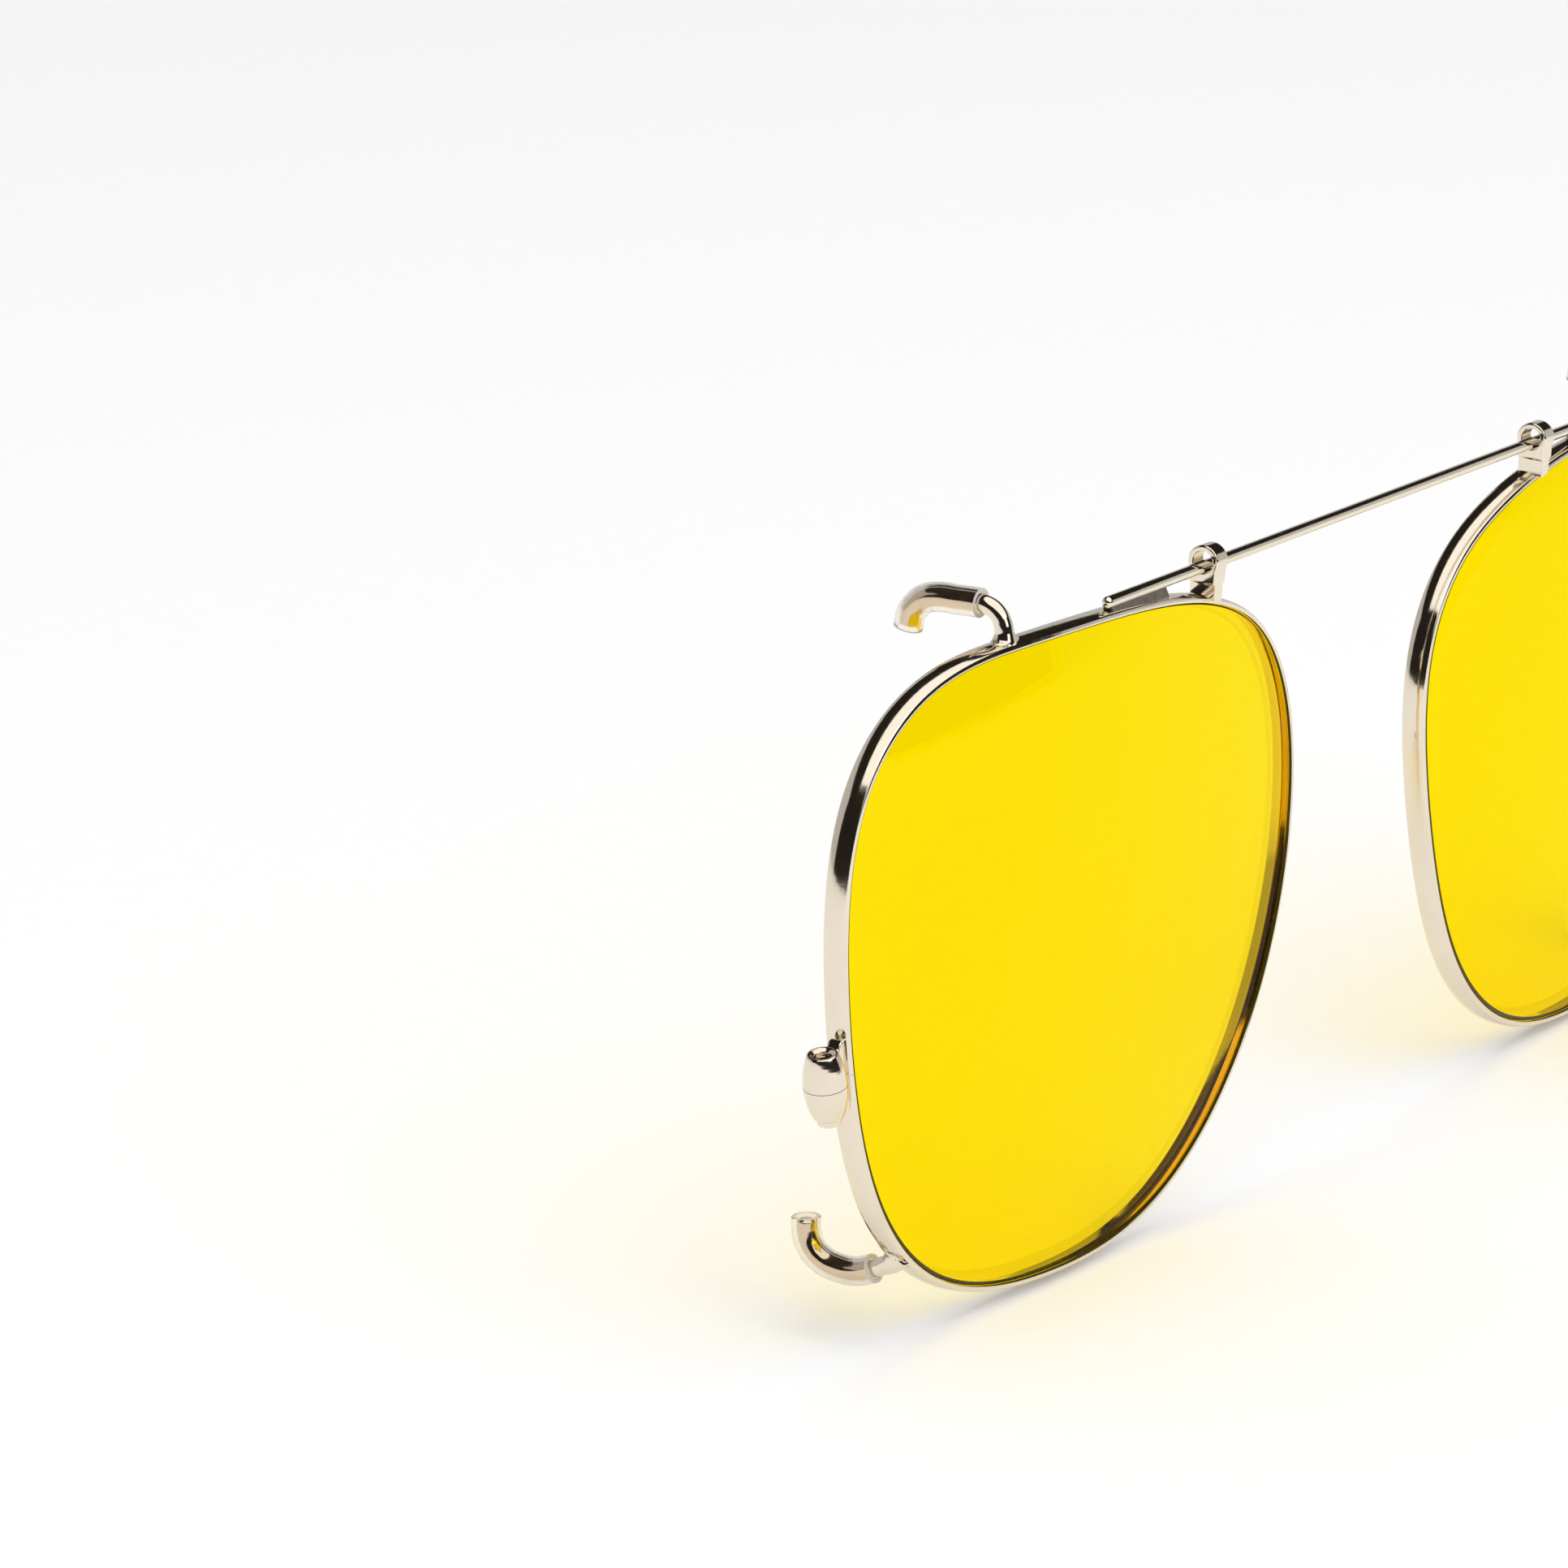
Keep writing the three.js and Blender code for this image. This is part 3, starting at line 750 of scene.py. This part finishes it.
class CLIP_ON_OT_lenses(bpy.types.Operator):
    """Two yellow lenses with the bevel that sits in the groove; the ground edge, painted dark olive as
    groove shade, is widest below
    """

    bl_idname = "clip_on.lenses"
    bl_label = "Lenses"

    def execute(self, context):
        front = LENS_SETBACK
        rear = LENS_SETBACK + size("lens_thickness")
        middle = (front + rear) / 2
        edge = LATHE_RADIUS - LENS_PLAY
        bevel = GROOVE_DEPTH - LENS_PLAY
        inner = edge - size("lens_edge_width")
        shares = [i / LENS_RINGS for i in range(LENS_RINGS + 1)]
        lens = outline_face("lens", [
            *((inner * share, front) for share in shares), (edge, front + LENS_EDGE_FALL),
            (edge, middle - bevel), (edge + bevel, middle), (edge, middle + bevel),
            *((edge * share, rear) for share in reversed(shares)),
        ])
        spun(lens, LATHE_STEPS)
        lens.data.materials.append(tinted_lens())
        lens.data.materials.append(painted_groove_shade())
        # The ground edge's faces take the second material: painted shade from the groove.
        for face in lens.data.polygons:
            across = math.hypot(face.center.x, face.center.y)
            face.material_index = int(across > inner and face.center.z < front + LENS_EDGE_FALL)
        # The edge band, and with it the painted shade, is narrowed at the top and widened at the bottom.
        for vertex in lens.data.vertices:
            x, y, back = vertex.co
            radius = math.hypot(x, y)
            if abs(radius - inner) < 1e-3 and back < middle:
                share = EDGE_WIDTH_MEAN - EDGE_WIDTH_SWING * y / radius
                narrowed = edge - (edge - inner) * share
                vertex.co = (x * narrowed / radius, y * narrowed / radius, back)
        lens_shaped(lens)
        pair(lens, "tinted_lens", "lens", None)
        return {"FINISHED"}


class CLIP_ON_OT_wires(bpy.types.Operator):
    """The straight spring wire: its free span, and two ends ringed over the stretch where the wire bends
    """

    bl_idname = "clip_on.wires"
    bl_label = "Spring wire"

    def execute(self, context):
        span = self.rod("spring_wire", -LOOP_PLACE, LOOP_PLACE, 0)
        dressed(span, "spring_wire", nickel_plate())
        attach(span, "bridge_wire")
        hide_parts("bridge_wire")
        for side, sign in SIDES.items():
            end = self.rod("end", LOOP_PLACE, WIRE_END, 12)
            moved(end, Matrix.Diagonal((sign, 1, 1, 1)))
            dressed(end, f"{side}_spring_wire_end", nickel_plate())
            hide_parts(f"{side}_wire_end")
            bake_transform(end)
        return {"FINISHED"}

    @staticmethod
    def rod(name, start, stop, rings):
        """A round wire along X, ringed near its bend; with rings it also has a domed outer end."""
        radius = size("wire_radius")
        bpy.ops.object.select_all(action="DESELECT")
        bpy.ops.mesh.primitive_cylinder_add(
            vertices=40, radius=radius, depth=stop - start,
            location=((start + stop) / 2, WIRE_BACK, WIRE_UP), rotation=(0, math.pi / 2, 0),
        )
        obj = bpy.context.object
        obj.name = name
        bpy.ops.object.transform_apply(location=True, rotation=True, scale=True)
        if not rings:
            return obj
        edit(obj)
        for i in range(rings + 1):
            bpy.ops.mesh.select_all(action="SELECT")
            at = WIRE_FLEX - BEND_LENGTH * i / rings
            bpy.ops.mesh.bisect(plane_co=(at, 0, 0), plane_no=(1, 0, 0))
        pick(obj, "VERT", lambda co: co.x > stop - 1e-3)
        bpy.ops.mesh.select_mode(type="EDGE")
        bpy.ops.mesh.bevel(offset=radius * 0.94, segments=8, affect="EDGES", clamp_overlap=False)
        close()
        return obj


class CLIP_ON_OT_loops(bpy.types.Operator):
    """Two guide loops around the wire, each a short ring on a stepped, tapered foot"""

    bl_idname = "clip_on.loops"
    bl_label = "Guide loops"

    def execute(self, context):
        half = LOOP_LENGTH / 2
        ring = outline_face("loop", [(0, -half), (LOOP_RADIUS, -half), (LOOP_RADIUS, half), (0, half)])
        round_corners(ring, LOOP_EDGE, 4, lambda co: co.x > 0.1)
        spun(ring, 64)
        moved(ring, Matrix.Rotation(math.pi / 2, 4, "Y"))
        bpy.ops.object.select_all(action="DESELECT")
        bpy.ops.mesh.primitive_cube_add(size=1, location=(0, 0, -LOOP_STEP / 2))
        foot = bpy.context.object
        foot.scale = (LOOP_LENGTH, LOOP_FOOT_WIDTH, LOOP_STEP)
        bpy.ops.object.transform_apply(location=True, rotation=True, scale=True)
        edit(foot, "FACE")
        pick(foot, "FACE", lambda co: co.z < -LOOP_STEP + 0.01)
        bpy.ops.mesh.extrude_region_move(TRANSFORM_OT_translate={"value": (0, 0, -LOOP_SLOPE)})
        bpy.ops.transform.resize(value=(LOOP_NECK / half, 1, 1))
        bpy.ops.mesh.extrude_region_move(TRANSFORM_OT_translate={"value": (0, 0, -LOOP_FOOT_REACH)})
        bpy.ops.transform.resize(value=(LOOP_TOE / LOOP_NECK, 1, 1))
        close()
        combine(ring, foot, "UNION")
        bpy.ops.object.select_all(action="DESELECT")
        bpy.ops.mesh.primitive_cylinder_add(
            vertices=64, radius=LOOP_HOLE_RADIUS, depth=2 * LOOP_LENGTH, rotation=(0, math.pi / 2, 0)
        )
        combine(ring, bpy.context.object, "DIFFERENCE")
        place = Matrix.Translation((LOOP_PLACE, WIRE_BACK, WIRE_UP + LOOP_RISE))
        moved(ring, half_place().inverted() @ place)
        combine(ring, rim_core(), "DIFFERENCE")
        softened(ring, 0.035, 6)
        pair(ring, "guide_loop", "loop", nickel_plate())
        return {"FINISHED"}


class CLIP_ON_OT_solder(bpy.types.Operator):
    """The solder under each end of the wire, hollow-sided where it wets the wire and the rim"""

    bl_idname = "clip_on.solder"
    bl_label = "Solder"

    def execute(self, context):
        inner = WIRE_FLEX + WIRE_PLAY
        bpy.ops.object.select_all(action="DESELECT")
        bpy.ops.mesh.primitive_cube_add(size=1)
        bead = bpy.context.object
        bead.name = "solder"
        bead.scale = (SOLDER_LENGTH, *SOLDER_SLAB)
        bead.location = (inner + SOLDER_LENGTH / 2, WIRE_BACK, WIRE_UP + SOLDER_TOP)
        bpy.ops.object.transform_apply(location=True, rotation=True, scale=True)
        edit(bead, "FACE")
        pick(bead, "FACE", lambda co: co.z < WIRE_UP - 0.19)
        for drop, spread in SOLDER_STEPS:
            bpy.ops.mesh.extrude_region_move(TRANSFORM_OT_translate={"value": (0, 0, -drop)})
            bpy.ops.transform.resize(
                value=(1, spread, 1), center_override=(inner, WIRE_BACK, WIRE_UP)
            )
        close()
        moved(bead, half_place().inverted())
        combine(bead, rim_core(), "DIFFERENCE")
        softened(bead, 0.045, 14)
        pair(bead, "solder_bead", "wire_braze", solder_painted_in_shade())
        return {"FINISHED"}


class CLIP_ON_OT_barrels(bpy.types.Operator):
    """The closing barrels, each parted across the middle with its foot along the rim"""

    bl_idname = "clip_on.barrels"
    bl_label = "Closing barrels"

    def execute(self, context):
        top = BARREL_LENGTH / 2
        fall = BARREL_RADIUS - BARREL_END_RADIUS
        steps = BARREL_CURVE_STEPS
        shares = [i / steps for i in range(-steps, steps + 1)]
        curve = [(BARREL_RADIUS - fall * share**2, share * top) for share in shares]
        section = outline_face("barrel", [
            (BARREL_BORE, top - COUNTERSINK), (BARREL_BORE, -top), *curve,
            (BARREL_BORE + COUNTERSINK, top),
        ])
        round_corners(section, BARREL_EDGE, 4, lambda co: abs(co.z) > top - 1e-3)
        barrel = spun(section, 72)
        inner = -BARREL_STANDOFF - size("rim_wall")
        high = top + FOOT_RISE
        spread = FOOT_EDGE - BARREL_STANDOFF
        foot = outline_face("foot", [
            (-FOOT_INSET, FOOT_START * top), (spread, high - 0.1), (inner, high),
            (inner, -high), (spread, 0.1 - high), (-FOOT_INSET, -FOOT_START * top),
        ])
        edit(foot, "FACE")
        bpy.ops.mesh.select_all(action="SELECT")
        bpy.ops.mesh.extrude_region_move(TRANSFORM_OT_translate={"value": (0, FOOT_THICKNESS, 0)})
        close()
        moved(foot, Matrix.Translation((0, -FOOT_THICKNESS / 2, 0)))
        outward(foot)
        apply(foot, "BEVEL", width=FOOT_ROUNDING, segments=3, limit_method="ANGLE", angle_limit=0.5)
        combine(barrel, foot, "UNION")
        moved(barrel, closing_frame())
        combine(barrel, rim_core(), "DIFFERENCE")
        softened(barrel, 0.035, 8)
        for place, sign in (("upper", 1), ("lower", -1)):
            only(barrel)
            bpy.ops.object.duplicate()
            block = bpy.context.object
            axes = closing_frame()
            normal = (axes.to_3x3() @ Vector((0, 0, sign))).normalized()
            parting = axes.translation + normal * PARTING_GAP / 2
            edit(block)
            bpy.ops.mesh.select_all(action="SELECT")
            bpy.ops.mesh.bisect(plane_co=parting, plane_no=normal, clear_inner=True, use_fill=True)
            close()
            pair(block, f"barrel_{place}", f"closing_block_{place}", nickel_plate())
        bpy.data.objects.remove(barrel)
        return {"FINISHED"}


class CLIP_ON_OT_screws(bpy.types.Operator):
    """The closing screws, slotted, with the thread's crests showing at the tip"""

    bl_idname = "clip_on.screws"
    bl_label = "Closing screws"

    def execute(self, context):
        head = -BARREL_LENGTH / 2 - SCREW_HEAD_GAP
        tip = BARREL_LENGTH / 2 - SCREW_TIP_DEPTH
        profile = [
            (0, head - SCREW_HEAD_HEIGHT),
            (SCREW_HEAD_RADIUS - 0.2, head - SCREW_HEAD_HEIGHT),
            (SCREW_HEAD_RADIUS - SCREW_BEVEL, head - SCREW_HEAD_HEIGHT + 0.08),
            (SCREW_HEAD_RADIUS, head - SCREW_HEAD_HEIGHT + 0.22),
            (SCREW_HEAD_RADIUS, head - SCREW_BEVEL),
            (SCREW_HEAD_RADIUS - SCREW_BEVEL, head),
            (SCREW_RADIUS, head),
        ]
        at = head + THREAD_PITCH
        while at < tip - THREAD_PITCH:
            root = at + THREAD_PITCH / 2
            profile += [(SCREW_RADIUS, at), (SCREW_RADIUS - THREAD_DEPTH, root)]
            at += THREAD_PITCH
        profile += [(SCREW_RADIUS, tip - 0.15), (SCREW_RADIUS - 0.15, tip), (0, tip)]
        screw = spun(outline_face("screw", profile), 48)
        bpy.ops.object.select_all(action="DESELECT")
        bpy.ops.mesh.primitive_cube_add(size=1)
        slot = moved(
            bpy.context.object,
            Matrix.Translation((0, 0, head - SCREW_HEAD_HEIGHT))
            @ Matrix.Diagonal((3, SLOT_WIDTH, 2 * SLOT_DEPTH, 1)),
        )
        combine(screw, slot, "DIFFERENCE")
        apply(screw, "BEVEL", width=0.015, segments=2, limit_method="ANGLE", angle_limit=1.0)
        moved(screw, closing_frame())
        pair(screw, "barrel_screw", "closing_screw", nickel_plate())
        return {"FINISHED"}


class CLIP_ON_OT_hooks(bpy.types.Operator):
    """The bent hooks, flared where they are brazed to the rim and rounded at the tip"""

    bl_idname = "clip_on.hooks"
    bl_label = "Hooks"

    def execute(self, context):
        for place, (route, turn, _) in hook_places().items():
            root = hook_root(turn)
            radius = size("hook_radius")
            hook = bent_tube("hook", route, root, radius, 0, 1 - SLEEVE_OVERHANG)
            tip = root + Vector((0, route[-1][0], route[-1][1]))
            edit(hook)
            bpy.ops.mesh.select_all(action="SELECT")
            bpy.ops.mesh.fill_holes(sides=0)
            close()
            outward(hook)
            self.round_tip(hook, tip, radius)
            outward(hook)
            combine(hook, self.bead(turn), "UNION")
            combine(hook, rim_core(), "DIFFERENCE")
            softened(hook, 0.04, 14)
            pair(hook, f"{place}_hook_wire", f"{place}_hook", nickel_plate())
        return {"FINISHED"}

    @staticmethod
    def bead(turn):
        """The low mound of solder around a hook's root, longer along the rim."""
        _, along, out = outline_at(turn)
        bpy.ops.object.select_all(action="DESELECT")
        bpy.ops.mesh.primitive_uv_sphere_add(segments=48, ring_count=24, radius=1)
        mound = bpy.context.object
        axes = Matrix(((along.x, 0, along.y), (0, 1, 0), (out.x, 0, out.y))).transposed().to_4x4()
        place = Matrix.Translation(hook_root(turn)) @ axes
        moved(mound, place @ Matrix.Diagonal((*BEAD_HALF_SIZE, 1)))
        outward(mound)
        return mound

    @staticmethod
    def round_tip(hook, tip, radius):
        """Rounds the edge of the flat cap nearest to the tip."""
        edit(hook, "FACE")
        mesh = bmesh.from_edit_mesh(hook.data)
        caps = [face for face in mesh.faces if len(face.verts) > 6]
        cap = min(caps, key=lambda face: (face.calc_center_median() - tip).length)
        cap.select_set(True)
        bmesh.update_edit_mesh(hook.data)
        bpy.ops.mesh.region_to_loop()
        bpy.ops.mesh.bevel(offset=radius * 0.5, segments=6, affect="EDGES", clamp_overlap=False)
        close()


class CLIP_ON_OT_sleeves(bpy.types.Operator):
    """The clear vinyl sleeves over the hooks, cut square at both ends"""

    bl_idname = "clip_on.sleeves"
    bl_label = "Sleeves"

    def execute(self, context):
        outer, bore = size("sleeve_radius"), size("sleeve_bore")
        finishes = clear_vinyl(), cut_vinyl()
        for place, (route, turn, start) in hook_places().items():
            sleeve = bent_tube("sleeve", route, hook_root(turn), outer, start, 1)
            for finish in finishes:
                sleeve.data.materials.append(finish)
            apply(sleeve, "SOLIDIFY", thickness=outer - bore, offset=-1, material_offset_rim=1)
            apply(sleeve, "BEVEL", width=0.05, segments=3, limit_method="ANGLE", angle_limit=1.0)
            pair(sleeve, f"{place}_vinyl_sleeve", f"{place}_sleeve", None)
        return {"FINISHED"}


# ------------------------------------------------------------------ stage

CAMERA_PLACE = Vector((-442.0, -232.1, 149.9))
CAMERA_FORWARD = Vector((0.80835, 0.51415, -0.28675))
CAMERA_UP = Vector((0.21286, 0.19887, 0.95663))
CAMERA_LENS = 176.66  # millimetres, on a 36 mm sensor
SENSOR = 36.0
FLOOR_SIZE = 6
BACKDROP_HEIGHTS = (1.4, 2.2)  # of the paper past the right side and behind


class CLIP_ON_OT_stage(bpy.types.Operator):
    """The pale floor, the studio lights and the camera"""

    bl_idname = "clip_on.stage"
    bl_label = "Stage"

    def execute(self, context):
        self.floor()
        self.lights(context.scene)
        self.camera(context.scene)
        context.scene.view_settings.view_transform = "Standard"
        return {"FINISHED"}

    @staticmethod
    def floor():
        bpy.ops.object.select_all(action="DESELECT")
        bpy.ops.mesh.primitive_plane_add(size=FLOOR_SIZE, location=(0, 0, CAD_BOX[0][2] - 0.5 * MM))
        floor = bpy.context.object
        floor.name = "floor"
        edit(floor, "EDGE")
        for axis, height in enumerate(BACKDROP_HEIGHTS):
            pick(floor, "EDGE", lambda co: co[axis] > FLOOR_SIZE / 2 - 0.1 and co.z < 0.1)
            bpy.ops.mesh.extrude_edges_move(TRANSFORM_OT_translate={"value": (0, 0, height)})
        close()
        floor.data.materials.append(pale_paper())

    @staticmethod
    def lights(scene):
        lamps = {
            "overhead_softbox": ((-0.3, -0.8, 1.4), (0, 0, 0), 2.7, 27.7),
            "front_softbox": (
                (-0.3, -1.6, 0.9), (math.radians(62), 0, math.radians(-10)), 0.9, 4.0
            ),
        }
        for name, (place, turn, width, power) in lamps.items():
            bpy.ops.object.light_add(type="AREA", location=place, rotation=turn)
            lamp = bpy.context.object
            lamp.name = name
            lamp.data.size = width
            lamp.data.energy = power
        world = bpy.data.worlds.new("studio room")
        world.use_nodes = True
        tree = world.node_tree
        mirrored = add(tree, "ShaderNodeLightPath").outputs["Is Glossy Ray"]
        room = add(
            tree, "ShaderNodeMix", {"data_type": "RGBA"},
            _0=mirrored, _6=(*linear("C4C4C5"), 1), _7=(*linear("26221F"), 1),
        )
        tree.links.new(room.outputs[2], tree.nodes["Background"].inputs["Color"])
        scene.world = world

    @staticmethod
    def camera(scene):
        bpy.ops.object.camera_add()
        camera = bpy.context.object
        right = CAMERA_FORWARD.cross(CAMERA_UP)
        axes = Matrix((right, CAMERA_UP, -CAMERA_FORWARD)).transposed().to_4x4()
        camera.matrix_world = Matrix.Translation(CAMERA_PLACE * MM) @ axes
        camera.data.sensor_width = SENSOR
        camera.data.lens = CAMERA_LENS
        camera.data.clip_start = 0.01
        scene.camera = camera


OPERATORS = (
    CLIP_ON_OT_rims,
    CLIP_ON_OT_lenses,
    CLIP_ON_OT_wires,
    CLIP_ON_OT_loops,
    CLIP_ON_OT_solder,
    CLIP_ON_OT_barrels,
    CLIP_ON_OT_screws,
    CLIP_ON_OT_hooks,
    CLIP_ON_OT_sleeves,
    CLIP_ON_OT_stage,
)


class CLIP_ON_PT_panel(bpy.types.Panel):
    """The clip-on's sizes, finishes and pieces"""

    bl_label = "Clip-on lens pair"
    bl_space_type = "VIEW_3D"
    bl_region_type = "UI"
    bl_category = "Clip-on"

    def draw(self, context):
        for group in (context.scene.clip_on_sizes, context.scene.clip_on_finishes):
            for name in group.__annotations__:
                self.layout.prop(group, name)
        for operator in OPERATORS:
            self.layout.operator(operator.bl_idname)


CLASSES = (ClipOnSizes, ClipOnFinishes, *OPERATORS, CLIP_ON_PT_panel)


def register():
    for cls in CLASSES:
        bpy.utils.register_class(cls)
    bpy.types.Scene.clip_on_sizes = PointerProperty(type=ClipOnSizes)
    bpy.types.Scene.clip_on_finishes = PointerProperty(type=ClipOnFinishes)


def unregister():
    del bpy.types.Scene.clip_on_finishes
    del bpy.types.Scene.clip_on_sizes
    for cls in reversed(CLASSES):
        bpy.utils.unregister_class(cls)


def main():
    register()
    bpy.ops.clip_on.rims()
    bpy.ops.clip_on.lenses()
    bpy.ops.clip_on.wires()
    bpy.ops.clip_on.loops()
    bpy.ops.clip_on.solder()
    bpy.ops.clip_on.barrels()
    bpy.ops.clip_on.screws()
    bpy.ops.clip_on.hooks()
    bpy.ops.clip_on.sleeves()
    bpy.ops.clip_on.stage()


if __name__ == "__main__":
    main()
